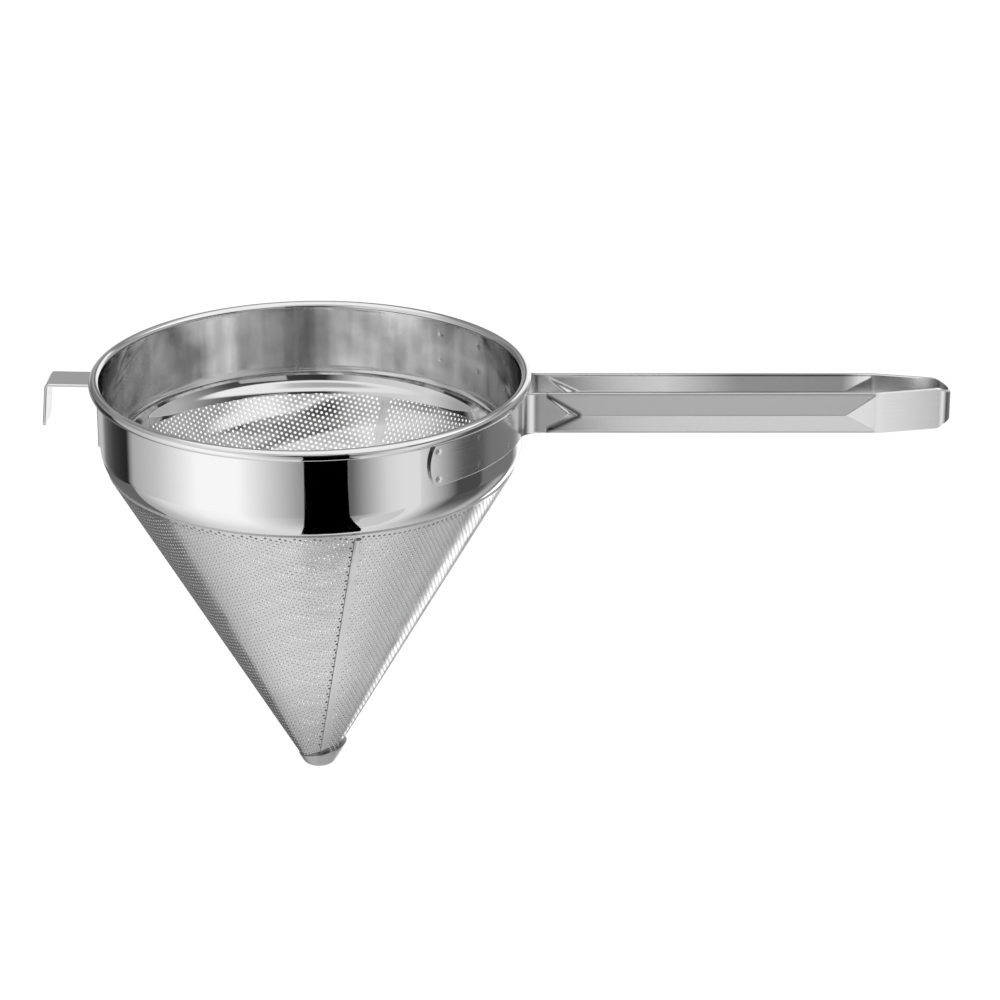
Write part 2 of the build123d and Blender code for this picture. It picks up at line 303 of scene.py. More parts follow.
def grained(scale, detail, tints=None, bump=None):
    """An even grain: a mottle between two tints, a bump of some strength and rise, or both."""
    def finish(add):
        place = add("TexCoord").outputs["Object"]
        grain = add("TexNoise", {"Vector": place, "Scale": scale, "Detail": detail})
        patterns = {}
        if tints:
            dark, light = (hex_colour(code) for code in tints)
            patterns["Base Color"] = add("Mix", {0: grain, 6: dark, 7: light}, data_type="RGBA").outputs[2]
        if bump:
            strength, rise = bump
            relief = add("Bump", {"Height": grain, "Strength": strength, "Distance": rise * MM})
            patterns["Normal"] = relief.outputs[0]
        return patterns
    return finish


def brushed(add):
    """Brushed along the strip: lines about 0.15 mm apart, drawn at 0.4 mm to show."""
    strip = add("UVMap", uv_map="strip")
    stretch = add("Mapping", {"Vector": strip, "Scale": (25.0, 2500.0, 1.0)})
    lines = add("TexNoise", {"Vector": stretch, "Scale": 1.0, "Detail": 3.0}, noise_dimensions="2D")
    grit = add("MapRange", lines, 0.25, 0.75, 0.16, 0.27)
    brush = add("Bump", {"Height": lines, "Strength": 0.15, "Distance": 0.02 * MM})
    return {"Roughness": grit.outputs[0], "Normal": brush.outputs[0]}


def brushed_with_painted_crease_shade(add):
    """Brushed, with a painted shade line along each rib's first slope: a dark colour where the crease should
    fall into shade. The line's place and width are shares of that slope's length."""
    strip = add("SeparateXYZ", add("UVMap", uv_map="strip")).outputs
    run = add("MapRange", strip["X"], rib_travel * MM, (rib_travel + rib_first_facet) * MM, clamp=False)
    height = add("Math", strip["Y"], -strap_middle * MM, operation="ADD")
    off_middle = add("Math", height, operation="ABSOLUTE")
    climb = add("MapRange", off_middle, rib_reach * MM, 0.0, clamp=False)
    off_line = add("Math", run, climb, operation="SUBTRACT")
    off_line = add("Math", off_line, operation="ABSOLUTE")
    line_width = add("MapRange", height, 0.5 * MM, -0.5 * MM, 0.24, 0.32)
    crease_shade = add("MapRange", off_line, line_width, 0.0, interpolation_type="SMOOTHSTEP")
    started = add("Math", run, 0.02, operation="GREATER_THAN")
    ending = add("MapRange", run, 1.06, 0.98)
    for limit in (ending, started):
        crease_shade = add("Math", crease_shade, limit, operation="MULTIPLY")
    # Painted shade: the crease line darkens the colour from E2E2E2 to 747474
    crease_shaded = add("Mix", {0: crease_shade, 6: hex_colour("E2E2E2"), 7: hex_colour("747474")}, data_type="RGBA")
    return {"Base Color": crease_shaded.outputs[2], **brushed(add)}


def brushed_with_painted_light_and_shade(add):
    """Brushed, with painted light and shade along the strip: darker stretches for shade and a white stretch
    for a highlight on the inner face.
    """
    strip = add("SeparateXYZ", add("UVMap", uv_map="strip")).outputs
    # Painted light and shade along the strip's length: a white stretch among darker ones
    light_and_shade_ramp = add("ValToRGB", strip["X"])
    set_stops(light_and_shade_ramp, [(travel * MM, hex_colour(code)) for travel, code in (
        (145, "E6E6E6"), (178, "A0A0A0"), (228, "989898"), (236, "FFFFFF"), (262, "FFFFFF"), (270, "909090"),
    )])
    return {"Base Color": light_and_shade_ramp.outputs[0], **brushed(add)}


mirror_steel = steel("buffed_stainless_mirror", "DADADA", 0.03, buffed_mirror)
ground_steel = steel("ground_stainless_inside", "D4D4D4", 0.1, ground_inside)
perforated_steel = steel("rolled_stainless_perforated", "D4D4D4", 0.16, rolled_perforated)
satin_steel = steel("brushed_stainless_satin", "E2E2E2", 0.22, brushed_with_painted_crease_shade)
inner_satin = steel("brushed_stainless_inner_face", "E2E2E2", 0.22, brushed_with_painted_light_and_shade)

# The punched holes' walls: torn, not rolled, so they are dull and light, with a 0.7 mm grain
edge_steel = steel("sheared_stainless_edge", "DCDCDC", 0.45, grained(1500.0, 2.0, bump=(0.2, 0.03)))

# Drawn stainless cup: smooth, with faint drawing marks of 2.5 mm
cap_steel = steel("drawn_stainless_cup", "B2B2B2", 0.4, grained(400.0, 3.0, bump=(0.2, 0.05)))

# Ground weld metal: greyer than the sheet, with a dull skin, uneven every 1.4 mm
weld_steel = steel(
    "ground_weld_metal", "B3B3B3", 0.4, grained(700.0, 3.0, ("8C8C8C", "D8D8D8"), (0.3, 0.05)),
)

# The weld's root, left as it cooled: a dark oxide skin in patches of 2 mm. The same dark colour paints shade
# along the front seam's edge as a thin line
root_oxide_and_shade_steel = steel("oxidised_weld_root_and_painted_shade", "8A8A8A", 0.5, grained(500.0, 3.0, ("6C6C6C", "A8A8A8")))


# Mesh tools

# A fold sharper than this, in degrees, stays a crisp edge
crease_angle = 35


def new_object(name, points, faces, material):
    """An object with one mesh of one material, from points in millimetres."""
    mesh = bpy.data.meshes.new(name)
    mesh.from_pydata([Vector(point) * MM for point in points], [], faces)
    mesh.materials.append(material)
    thing = bpy.data.objects.new(name, mesh)
    bpy.context.scene.collection.objects.link(thing)
    return thing


def make_piece(name, points, faces, material, uvs=None):
    """A piece from points in millimetres, its faces turned outward and shaded smooth."""
    piece = new_object(name, points, faces, material)
    mesh = piece.data
    mesh.validate()
    mesh.calc_loop_triangles()
    volume = 0.0
    for corners in mesh.loop_triangles:
        a, b, c = (mesh.vertices[index].co for index in corners.vertices)
        volume += a.dot(b.cross(c))
    if volume < 0:
        mesh.flip_normals()
    if uvs:
        layer = mesh.uv_layers.new(name="strip")
        for loop in mesh.loops:
            layer.data[loop.index].uv = Vector(uvs[loop.vertex_index]) * MM
    mesh.shade_smooth()
    mesh.set_sharp_from_angle(angle=radians(crease_angle))
    return piece


def fit_piece(piece, slot, *nodes):
    """Fix a piece to the one body and hide the solids that it stands for. Its slot is not used."""
    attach(piece, "root")
    if nodes:
        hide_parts(*nodes)


def tube_faces(rings, around, first=0, closed=False):
    """Four-sided faces over rings of points, each ring closed on itself."""
    faces = []
    for ring in range(rings if closed else rings - 1):
        here = first + ring * around
        there = first + (ring + 1) % rings * around
        for side in range(around):
            after = (side + 1) % around
            faces.append((here + side, here + after, there + after, there + side))
    return faces


def strip_faces(rings, around, first=0):
    """A tube of flat sections, each down one face and back up the other, with closed ends."""
    faces = tube_faces(rings, around, first)
    for ring in (0, rings - 1):
        start = first + ring * around
        for step in range(around // 2 - 1):
            face = (start + step, start + step + 1, start + around - 2 - step, start + around - 1 - step)
            faces.append(face if ring else face[::-1])
    return faces


def spun_faces(sides, rows, first=0):
    """Faces of a profile spun round an axis. Its two ends on the axis follow its other points."""
    start_point = first + sides * rows
    faces = []
    for side in range(sides):
        here = first + side * rows
        there = first + (side + 1) % sides * rows
        for row in range(rows - 1):
            faces.append((here + row, here + row + 1, there + row + 1, there + row))
        faces.append((start_point, here, there))
        faces.append((there + rows - 1, here + rows - 1, start_point + 1))
    return faces


def on_cone(slant, depth):
    """Radius and height of a point at this slant distance and depth under the cone's face."""
    r = slant * sin(half_angle) - depth * cos(half_angle)
    z = slant * cos(half_angle) + depth * sin(half_angle) - apex_depth
    return (r, z)


def round_axis(r, azimuth, across, z):
    """A point at this radius and azimuth in radians, and this far square to that radius."""
    return (r * cos(azimuth) - across * sin(azimuth), r * sin(azimuth) + across * cos(azimuth), z)


def arc(centre, radius, start, sweep, steps):
    """Points of an arc in a flat section, angles in degrees."""
    points = []
    for step in range(steps + 1):
        turn = radians(start + sweep * step / steps)
        points.append((centre[0] + radius * cos(turn), centre[1] + radius * sin(turn)))
    return points


def dish(across, along):
    """How deep a spot weld's dish is at this distance from its middle."""
    reach = hypot(across, along) / (dish_diameter / 2)
    return dish_depth * (1 + cos(pi * reach)) / 2 if reach < 1 else 0.0


def round_off(radius, gap):
    """How far a rounded edge falls back, this far in from the edge."""
    short = radius - min(gap, radius)
    return radius - sqrt(max(radius ** 2 - short ** 2, 0))


# Rim band

# The wall's rows lie close together where the spot welds' dishes are
dish_row_start, dish_row_end, dish_row_step = -3.6, -24.0, 0.55
wall_rows = [-0.3, -1.2, -2.4]
row = dish_row_start
while row > dish_row_end:
    wall_rows.append(row)
    row -= dish_row_step
wall_rows += [-25.5, -27.5, -28.9]
neck_turn = degrees(half_angle)
band_profile = arc((bead_centre, 0), bead_radius, 180 + curl_gap_angle, 360 - curl_gap_angle, 34)
band_profile += [(wall_inner, row) for row in wall_rows]
band_profile += arc((neck_centre, -wall_depth), neck_bend_radius - band_sheet, 0, -neck_turn, 9)
for share, depth_share in ((0.2, 1.0), (0.8, 1.0), (1.0, 0.8), (1.0, 0.2), (0.8, 0.0), (0.2, 0.0)):
    slant = lip_end_slant + lip_length * (1 - share)
    band_profile.append(on_cone(slant, cone_sheet + band_sheet * depth_share))
band_profile += arc((neck_centre, -wall_depth), neck_bend_radius, -neck_turn, neck_turn, 9)
band_profile += [(wall_outer, row) for row in (-28.9, -27.0, -15.0, -3.0, -2.4, -curl_slot_top)]
band_profile += [(wall_outer + curl_slot, -curl_slot_top)]

band_steps = 720
dish_sweep = 2
band_points = []
for step in range(band_steps):
    azimuth = 360.0 * step / band_steps
    near = []
    for weld_azimuth, weld_row in rear_welds + front_welds + hook_welds:
        off = (azimuth - weld_azimuth + 180) % 360 - 180
        if abs(off) < dish_sweep:
            near.append((radians(off) * wall_inner, weld_row))
    for r, z in band_profile:
        if r == wall_inner:
            r += sum(dish(across, z - weld_row) for across, weld_row in near)
        band_points.append(round_axis(r, radians(azimuth), 0, z))
band_faces = tube_faces(band_steps, len(band_profile), closed=True)
rim = make_piece("polished_rim_band", band_points, band_faces, mirror_steel)
rim.data.materials.append(ground_steel)
ground_radius = (wall_inner + dish_depth) * MM
for face in rim.data.polygons:
    if face.center.to_2d().length < ground_radius and -wall_depth * MM < face.center.z < -MM:
        face.material_index = 1
fit_piece(rim, "mirror_band", "rim_band", "rim_wire")


# Perforated cone

# The sheet is laid out flat, cut into hexagonal cells with one round hole each, trimmed to
# its piece of the cone, given its thickness and rolled up. Points closer than a small share
# of the pitch are merged, and the holes' edges stay sharp
lattice_columns, lattice_rows = 157, 179
merge_share = 0.005
hole_edge_angle = 50


def rolled_sheet_group():
    """The node group that makes one strip of the cone from its named sizes."""
    group = bpy.data.node_groups.new("perforated_sheet_rolled_to_a_cone", "GeometryNodeTree")
    group.interface.new_socket("Geometry", in_out="OUTPUT", socket_type="NodeSocketGeometry")
    for size in (
        "Pitch", "Hole diameter", "Sheet", "Half angle", "Apex depth", "End slant", "Top slant",
        "First edge angle", "First keep", "First trim", "First plain",
        "Last edge angle", "Last keep", "Last trim", "Last plain", "Top plain",
    ):
        group.interface.new_socket(size, in_out="INPUT", socket_type="NodeSocketFloat")
    for face in ("Material", "Edge material"):
        group.interface.new_socket(face, in_out="INPUT", socket_type="NodeSocketMaterial")
    add = partial(add_node, group)
    sizes = add("NodeGroupInput").outputs
    pitch = sizes["Pitch"]
    place = add("GeometryNodeInputPosition")
    place_xyz = add("SeparateXYZ", place).outputs

    # The lattice, its odd rows set over by half a pitch
    row_pitch = add("Math", pitch, sqrt(3) / 2, operation="MULTIPLY")
    half_pitch = add("Math", pitch, 0.5, operation="MULTIPLY")
    lattice = add("GeometryNodeMeshGrid", {
        "Size X": add("Math", pitch, lattice_columns - 1.0, operation="MULTIPLY"),
        "Size Y": add("Math", row_pitch, lattice_rows - 1.0, operation="MULTIPLY"),
        "Vertices X": lattice_columns, "Vertices Y": lattice_rows,
    })
    row = add("Math", place_xyz["Y"], row_pitch, operation="DIVIDE")
    row = add("Math", row, operation="ROUND")
    odd = add("Math", row, 2.0, operation="FLOORED_MODULO")
    set_over = add("Math", odd, half_pitch, operation="MULTIPLY")
    lattice = add("GeometryNodeSetPosition", {
        "Geometry": lattice, "Offset": add("CombineXYZ", set_over),
    })

    # How far a point lies inside each side edge, and its slant distance
    inside = []
    square_to = []
    for edge, sign in (("First edge angle", 1.0), ("Last edge angle", -1.0)):
        sine = add("Math", sizes[edge], operation="SINE")
        sine = add("Math", sine, -sign, operation="MULTIPLY")
        cosine = add("Math", sizes[edge], operation="COSINE")
        cosine = add("Math", cosine, sign, operation="MULTIPLY")
        square = add("CombineXYZ", sine, cosine)
        square_to.append(square)
        inside.append(add("VectorMath", place, square, operation="DOT_PRODUCT").outputs["Value"])
    slant = add("VectorMath", place, operation="LENGTH").outputs["Value"]

    # Cells inside the piece are kept, and those clear of its plain margins get a hole
    reach_end = add("Math", sizes["End slant"], pitch, operation="SUBTRACT")
    reach_top = add("Math", sizes["Top slant"], pitch, operation="ADD")
    passed = 1.0
    chosen = []
    for tests in (
        ((inside[0], "GREATER_THAN", sizes["First keep"]), (inside[1], "GREATER_THAN", sizes["Last keep"]),
         (slant, "GREATER_THAN", reach_end), (slant, "LESS_THAN", reach_top)),
        ((inside[0], "GREATER_THAN", sizes["First plain"]), (inside[1], "GREATER_THAN", sizes["Last plain"]),
         (slant, "LESS_THAN", sizes["Top plain"])),
    ):
        for value, comparison, limit in tests:
            test = add("Math", value, limit, operation=comparison)
            passed = add("Math", passed, test, operation="MULTIPLY")
        chosen.append(passed)
    keep, holed = chosen
    plain = add("Math", keep, holed, operation="SUBTRACT")

    # A cell with its hole is a ring from a twelve-sided hole out to the hexagon, a plain one a disc
    ring = add("GeometryNodeFlipFaces", add("GeometryNodeMeshGrid", {"Vertices X": 13, "Vertices Y": 2}))
    disc = add("GeometryNodeMeshCircle", {"Vertices": 12, "Radius": 1.0}, fill_type="NGON")
    ring_turn = add("Math", place_xyz["X"], 0.5, operation="ADD")
    ring_turn = add("Math", ring_turn, 2 * pi, operation="MULTIPLY")
    outward = add("Math", place_xyz["Y"], 0.5, operation="ADD")
    hole_radius = add("Math", sizes["Hole diameter"], 0.5, operation="MULTIPLY")
    flat_turn = add("Math", place_xyz["Y"], place_xyz["X"], operation="ARCTAN2")
    flat = add("GeometryNodeJoinGeometry")
    for blank, angle, where in ((ring, ring_turn, holed), (disc, flat_turn, plain)):
        wrapped = add("Math", angle, pi / 6, -pi / 6, operation="WRAP")
        wrapped = add("Math", wrapped, operation="COSINE")
        radius = add("Math", half_pitch, wrapped, operation="DIVIDE")
        if blank is ring:
            radius = add("MapRange", outward, 0.0, 1.0, hole_radius, radius, clamp=False)
        corner = []
        for axis in ("COSINE", "SINE"):
            share = add("Math", angle, operation=axis)
            corner.append(add("Math", share, radius, operation="MULTIPLY"))
        cell = add("GeometryNodeSetPosition", {"Geometry": blank, "Position": add("CombineXYZ", *corner)})
        laid = add("GeometryNodeInstanceOnPoints", {"Points": lattice, "Selection": where, "Instance": cell})
        group.links.new(laid.outputs[0], flat.inputs[0])
    flat = add("GeometryNodeRealizeInstances", flat)
    merge_gap = add("Math", pitch, merge_share, operation="MULTIPLY")
    flat = add("GeometryNodeMergeByDistance", {"Geometry": flat, "Distance": merge_gap})

    # Trim: what hangs over an edge is drawn back on to it
    moved = place
    for depth_in, square, trim in zip(inside, square_to, ("First trim", "Last trim")):
        short = add("Math", sizes[trim], depth_in, operation="SUBTRACT")
        short = add("Math", short, 0.0, operation="MAXIMUM")
        back = add("VectorMath", {0: square, "Scale": short}, operation="SCALE")
        moved = add("VectorMath", moved, back, operation="ADD")
    flat = add("GeometryNodeSetPosition", {"Geometry": flat, "Position": moved})
    held = add("Clamp", slant, sizes["End slant"], sizes["Top slant"])
    share = add("Math", held, slant, operation="DIVIDE")
    drawn = add("VectorMath", {0: place, "Scale": share}, operation="SCALE")
    flat = add("GeometryNodeSetPosition", {"Geometry": flat, "Position": drawn})
    flat = add("GeometryNodeMergeByDistance", {"Geometry": flat, "Distance": merge_gap})
    least = add("Math", merge_gap, merge_gap, operation="MULTIPLY")
    empty = add("Math", add("GeometryNodeInputMeshFaceArea"), least, operation="LESS_THAN")
    flat = add("GeometryNodeDeleteGeometry", {"Geometry": flat, "Selection": empty}, domain="FACE")

    # Thickness
    thick = add("GeometryNodeExtrudeMesh", {
        "Mesh": flat, "Offset": add("CombineXYZ", {"Z": 1.0}),
        "Offset Scale": sizes["Sheet"], "Individual": False,
    }, mode="FACES")
    solid = add("GeometryNodeJoinGeometry", thick)
    group.links.new(add("GeometryNodeFlipFaces", flat).outputs[0], solid.inputs[0])
    solid = add("GeometryNodeMergeByDistance", {"Geometry": solid, "Distance": merge_gap})

    # The roll round the cone
    sine = add("Math", sizes["Half angle"], operation="SINE")
    cosine = add("Math", sizes["Half angle"], operation="COSINE")
    azimuth = add("Math", flat_turn, sine, operation="DIVIDE")
    level = add("CombineXYZ", place_xyz["X"], place_xyz["Y"])
    level_slant = add("VectorMath", level, operation="LENGTH").outputs["Value"]
    wide = add("Math", level_slant, sine, operation="MULTIPLY")
    narrow = add("Math", place_xyz["Z"], cosine, operation="MULTIPLY")
    plan_radius = add("Math", wide, narrow, operation="SUBTRACT")
    rolled = []
    for axis in ("COSINE", "SINE"):
        share = add("Math", azimuth, operation=axis)
        rolled.append(add("Math", share, plan_radius, operation="MULTIPLY"))
    high = add("Math", level_slant, cosine, operation="MULTIPLY")
    lift = add("Math", place_xyz["Z"], sine, operation="MULTIPLY")
    height = add("Math", high, lift, operation="ADD")
    rolled.append(add("Math", height, sizes["Apex depth"], operation="SUBTRACT"))
    solid = add("GeometryNodeSetPosition", {"Geometry": solid, "Position": add("CombineXYZ", *rolled)})

    # Smooth shading but for the holes' edges, and the two materials
    fold = add("GeometryNodeInputMeshEdgeAngle").outputs["Unsigned Angle"]
    sharp = add("Math", fold, radians(hole_edge_angle), operation="GREATER_THAN")
    solid = add("GeometryNodeSetShadeSmooth", {"Geometry": solid, "Shade Smooth": True})
    solid = add("GeometryNodeSetShadeSmooth", {
        "Geometry": solid, "Selection": sharp, "Shade Smooth": False,
    }, domain="EDGE")
    whole = add("GeometryNodeRealizeInstances", solid)
    finished = add("GeometryNodeSetMaterial", {"Geometry": whole, "Material": sizes["Material"]})
    finished = add("GeometryNodeSetMaterial", {
        "Geometry": finished, "Selection": thick.outputs["Side"], "Material": sizes["Edge material"],
    })
    add("NodeGroupOutput", finished)
    return group


# Each gore reaches from one weld strip to the other and is made in strips side by side.
# At the front seam the hook side's holes are cut through; elsewhere the seam has a plain margin
seam_half = seam_width / 2
cell_reach = hole_pitch / sqrt(3)
plain_reach = seam_half + hole_diameter / 2 + plain_margin
sheet_group = rolled_sheet_group()


def gore_strip(node, strip, strips, first_azimuth, last_azimuth, last_plain):
    """One strip of a gore, with its edges between these two seams."""
    sizes = {
        "Pitch": hole_pitch * MM,
        "Hole diameter": hole_diameter * MM,
        "Sheet": cone_sheet * MM,
        "Half angle": half_angle,
        "Apex depth": apex_depth * MM,
        "End slant": cone_end_slant * MM,
        "Top slant": cone_top_slant * MM,
        "Top plain": (cone_top_slant - hole_diameter / 2 - plain_margin) * MM,
        "Material": perforated_steel,
        "Edge material": edge_steel,
    }
    for index, (edge, at_seam, plain) in enumerate((
        ("First", strip == 0, plain_reach), ("Last", strip == strips - 1, last_plain),
    )):
        azimuth = first_azimuth + (last_azimuth - first_azimuth) * (strip + index) / strips
        sizes[edge + " edge angle"] = radians(azimuth) * sin(half_angle)
        sizes[edge + " keep"] = (seam_half - cell_reach) * MM if at_seam else 0.0
        sizes[edge + " trim"] = (seam_half if at_seam else -2 * cell_reach) * MM
        sizes[edge + " plain"] = (plain if at_seam else -cell_reach) * MM
    sheet = bpy.data.objects.new(f"{node}_perforated_{strip + 1}", bpy.data.meshes.new("blank"))
    bpy.context.scene.collection.objects.link(sheet)
    roller = sheet.modifiers.new("perforated_sheet", "NODES")
    roller.node_group = sheet_group
    for socket in sheet_group.interface.items_tree:
        if socket.in_out == "INPUT":
            roller[socket.identifier] = sizes[socket.name]
    depsgraph = bpy.context.evaluated_depsgraph_get()
    rolled_mesh = bpy.data.meshes.new_from_object(sheet.evaluated_get(depsgraph))
    sheet.modifiers.clear()
    sheet.data = rolled_mesh
    fit_piece(sheet, "perforated_sheet", node)


for strip in range(2):
    gore_strip("cone_gore_handle_side", strip, 2, seam_front_azimuth, seam_back_azimuth, plain_reach)
for strip in range(3):
    gore_strip("cone_gore_hook_side", strip, 3, seam_back_azimuth, seam_front_azimuth + 360, -cell_reach)


# Seams

seam_steps = 90


def on_seam(seam_azimuth, slant, across, depth):
    """A point this far beside a seam on the flat sheet, rolled round the cone."""
    x, y, depth = round_axis(slant, radians(seam_azimuth) * sin(half_angle), across, depth)
    r, z = on_cone(hypot(x, y), depth)
    return round_axis(r, atan2(y, x) / sin(half_angle), 0, z)


def seam_bar(seam_azimuth, section, top_slant):
    """Points of a bar from the tip up along a seam, with this section of across and depth."""
    points = []
    for step in range(seam_steps + 1):
        slant = cone_end_slant + (top_slant - cone_end_slant) * step / seam_steps
        points += [on_seam(seam_azimuth, slant, across, depth) for across, depth in section]
    return points


strip_section = []
for step in range(9):
    across = seam_half * (1 - step / 4)
    strip_section.append((across, -seam_crown * (1 - (across / seam_half) ** 2)))
strip_section += [(across, cone_sheet - depth) for across, depth in reversed(strip_section)]
for node, seam_azimuth in (("seam_weld_front", seam_front_azimuth), ("seam_weld_back", seam_back_azimuth)):
    points = seam_bar(seam_azimuth, strip_section, cone_top_slant)
    faces = strip_faces(seam_steps + 1, len(strip_section))
    seam = make_piece(node.replace("weld", "strip"), points, faces, perforated_steel)
    fit_piece(seam, "weld", node)

# Behind the holes that the front seam cuts through, the weld's dark root shows, and beside the strip a thin
# dark line of painted shade stands for the weld's undercut groove
points = []
faces = []
for corners, top_slant in ((root_corners, cone_top_slant), (undercut_shade_corners, lip_end_slant)):
    faces += strip_faces(seam_steps + 1, len(corners), len(points))
    section = [(from_edge - seam_half, depth) for from_edge, depth in corners]
    points += seam_bar(seam_front_azimuth, section, top_slant)
fit_piece(make_piece("seam_root_and_painted_shade_front", points, faces, root_oxide_and_shade_steel), "weld")

# A tack at the head of the front seam, on the edge of the band's lip
tack_rings, tack_sides = 7, 20
points = []
for ring in range(1, tack_rings):
    fall = pi * ring / tack_rings
    for side in range(tack_sides):
        turn = 2 * pi * side / tack_sides
        points.append(on_seam(
            seam_front_azimuth, lip_end_slant - tack_under_lip + tack_width * sin(fall) * sin(turn),
            tack_across + tack_length * sin(fall) * cos(turn), -tack_lift - tack_height * cos(fall),
        ))
faces = tube_faces(tack_rings - 1, tack_sides)
faces += [tuple(range(tack_sides))[::-1], tuple(range(len(points) - tack_sides, len(points)))]
fit_piece(make_piece("seam_tack_front", points, faces, root_oxide_and_shade_steel), "weld")


# Tip cap

# It fits the cone loosely, more so on the handle's side, and its rim is cut aslant
cap_steps = 96
cap_floor_rows = 5


def cap_section(azimuth):
    """One section of the cap from its floor's middle up the outside and down the inside."""
    loose = cap_loose_left + (cap_loose_right - cap_loose_left) * (1 + cos(azimuth)) / 2

    def wall_r(z):
        return (z + apex_depth) * tan(half_angle) + loose / cos(half_angle)

    centre_z = -strainer_depth + cap_corner_radius
    centre_r = wall_r(centre_z - cap_corner_radius * sin(half_angle)) - cap_corner_radius * cos(half_angle)
    outside = [(centre_r * row / cap_floor_rows, -strainer_depth) for row in range(cap_floor_rows)]
    outside += arc((centre_r, centre_z), cap_corner_radius, -90, 90 - degrees(half_angle), 8)
    last_z = outside[-1][1]
    rim_z = -strainer_depth + cap_height
    top_z = rim_z + wall_r(rim_z) * cos(azimuth) * tan(radians(cap_rim_tilt))
    for share in (0.25, 0.5, 0.75, 0.93, 1.0):
        z = last_z + (top_z - last_z) * share
        lean_in = cap_rim_lean if share == 1.0 else 0.0
        outside.append((wall_r(z) - lean_in, z))
    inside = []
    for r, z in reversed(outside[cap_floor_rows:]):
        z = max(z + cap_sheet * sin(half_angle), cap_floor)
        r = max(r - cap_sheet * cos(half_angle), 0)
        inside.append((min((z + apex_depth) * tan(half_angle) + cap_lap, r), z))
    inside += [(r, cap_floor) for r, z in reversed(outside[1:cap_floor_rows])]
    return outside[1:] + inside


cap_points = []
for step in range(cap_steps):
    azimuth = 2 * pi * step / cap_steps
    section = cap_section(azimuth)
    cap_points += [round_axis(r, azimuth, 0, z) for r, z in section]
cap_points += [(0, 0, -strainer_depth), (0, 0, cap_floor)]
cap_faces = spun_faces(cap_steps, len(section))
fit_piece(make_piece("tip_cup", cap_points, cap_faces, cap_steel), "cap_sheet", "tip_cap")


# Handle strap

grip_end = strap_outer + grip_reach
nose_centre = grip_end - grip_nose_radius
taper_start = nose_centre - grip_taper_length
bend_x = sqrt(bend_r ** 2 - bend_y ** 2)
taper_turn = (
    atan2(grip_half, grip_taper_length)
    - asin(grip_nose_radius / hypot(grip_taper_length, grip_half))
)
rib_start = bend_x + rib_bend_gap
rib_end = taper_start - rib_taper_gap
ease_length = taper_bend_radius * tan(taper_turn / 2)
nose_x = nose_centre + grip_nose_radius * sin(taper_turn)
nose_y = grip_nose_radius * cos(taper_turn)
taper_length = hypot(nose_x - taper_start, grip_half - nose_y)
wing_bow_radius = (strap_width ** 2 / 4 + wing_end_bow ** 2) / (2 * wing_end_bow)

# Half of the strap's outer line in plan: an arc has a centre, a radius, a start angle and a
# sweep in degrees and the side its metal faces; a line has a start, a heading and a length
plan = (
    ("arc", (0.0, 0.0), strap_outer, wing_end_azimuth, bend_azimuth - wing_end_azimuth, 1),
    ("arc", (bend_x, bend_y), strap_bend_radius, 180 + bend_azimuth, 90 - bend_azimuth, -1),
    ("line", (bend_x, grip_half), 0.0, taper_start - ease_length - bend_x),
    ("arc", (taper_start - ease_length, grip_half - taper_bend_radius), taper_bend_radius,
     90.0, -degrees(taper_turn), 1),
    ("line", (taper_start + ease_length * cos(taper_turn), grip_half - ease_length * sin(taper_turn)),
     -taper_turn, taper_length - ease_length),
    ("arc", (nose_centre, 0.0), grip_nose_radius, 90 - degrees(taper_turn), degrees(taper_turn) - 90, 1),
)
plan_steps = (0.5, 0.7, 0.8, 0.6, 1.2, 0.6)
plan_lengths = [
    abs(radians(part[4])) * part[2] if part[0] == "arc" else part[3] for part in plan
]
wing_length, bend_length, side_length = plan_lengths[:3]
ribs_from = wing_length + bend_length
ribs_to = ribs_from + side_length + rib_overrun


def strap_line(travel):
    """The outer line's place and outward direction at this distance from the wing's end."""
    for part, length in zip(plan, plan_lengths):
        if travel <= length or part is plan[-1]:
            break
        travel -= length
    if part[0] == "line":
        heading = part[2]
        x = part[1][0] + travel * cos(heading)
        y = part[1][1] + travel * sin(heading)
        return (x, y, -sin(heading), cos(heading))
    turn = radians(part[3]) + travel / part[2] * (1 if part[4] > 0 else -1)
    x = part[1][0] + part[2] * cos(turn)
    y = part[1][1] + part[2] * sin(turn)
    return (x, y, part[5] * cos(turn), part[5] * sin(turn))


def rib_rise(x, z):
    """How far the pressed rib stands out of the grip's side. It starts with a flat triangle
    and a step in the shape of a V, and ends with a plain slope."""
    side = (rib_reach - abs(z - strap_middle)) * rib_height / rib_reach
    start = (x - rib_start) * rib_height / rib_first_facet
    if side <= 0 or start <= 0:
        return 0.0
    if start < side:
        return side * smooth(rib_flat_share, 1.0, start / side)
    return max(min(side, (rib_end - x) * rib_height / rib_last_facet), 0.0)


def soft_rib(x, z):
    """The rib with its creases eased by the press."""
    total = 0.0
    for dx in (-rib_crease_along, 0.0, rib_crease_along):
        for dz in (-rib_crease_across, 0.0, rib_crease_across):
            total += rib_rise(x + dx, z + dz)
    return total / 9


face_rows = 46


